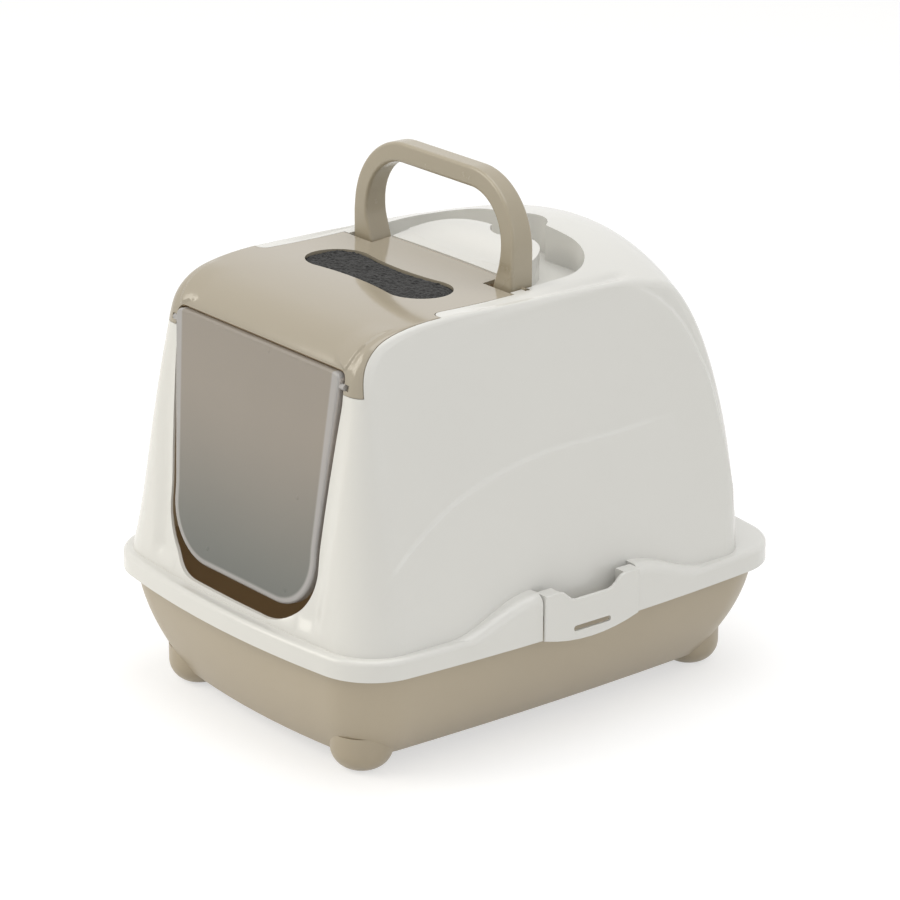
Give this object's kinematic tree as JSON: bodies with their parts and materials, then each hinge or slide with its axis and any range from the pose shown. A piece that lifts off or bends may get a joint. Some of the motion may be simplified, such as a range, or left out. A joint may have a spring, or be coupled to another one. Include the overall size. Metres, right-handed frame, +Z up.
{
  "type": "hooded litter box",
  "caption": "Hooded pet litter box: open tray on moulded feet, domed hood with side clips, flip-up front lid with see-through flap door and filter, and a fold-down carry handle.",
  "frame": {"origin": "on the floor under the middle of the rim", "axes": "+Z up, the flap door faces -Y, the side clips are at +X and -X"},
  "size_m": [0.393, 0.4998, 0.474],
  "materials": {
    "taupe_plastic": "fine matte grain",
    "cream_plastic": "gloss",
    "grey_plastic": "gloss",
    "smoked_plastic": "translucent, smooth",
    "felt": "coarse felt"
  },
  "bodies": {
    "tray": {"tray": "taupe_plastic"},
    "hood": {"hood": "cream_plastic"},
    "lid": {"lid": "grey_plastic", "filter_pad": "felt", "filter_retainer": "grey_plastic"},
    "handle": {"carry_handle": "taupe_plastic"},
    "door": {"flap_door": "smoked_plastic"},
    "clip_right": {"clip_right": "cream_plastic"},
    "clip_left": {"clip_left": "cream_plastic"}
  },
  "joints": [
    {"name": "hood_lift", "type": "slide", "parent": "tray", "child": "hood", "axis": [0, 0, 1], "range_m": [0, 0.25]},
    {"name": "lid_flip", "type": "hinge", "parent": "hood", "child": "lid", "pos_m": [0, -0.03, 0.375], "axis": [-1, 0, 0], "range_deg": [0, 88]},
    {"name": "handle_fold", "type": "hinge", "parent": "hood", "child": "handle", "pos_m": [0, -0.007, 0.379], "axis": [-1, 0, 0], "range_deg": [0, 90]},
    {"name": "door_swing", "type": "hinge", "parent": "lid", "child": "door", "pos_m": [0, -0.201, 0.338], "axis": [-1, 0, 0], "range_deg": [-70, 70]},
    {"name": "clip_right_swing", "type": "hinge", "parent": "hood", "child": "clip_right", "pos_m": [0.187, 0, 0.138], "axis": [0, -1, 0], "range_deg": [-4, 100]},
    {"name": "clip_left_swing", "type": "hinge", "parent": "hood", "child": "clip_left", "pos_m": [-0.187, 0, 0.138], "axis": [0, 1, 0], "range_deg": [-4, 100]}
  ]
}
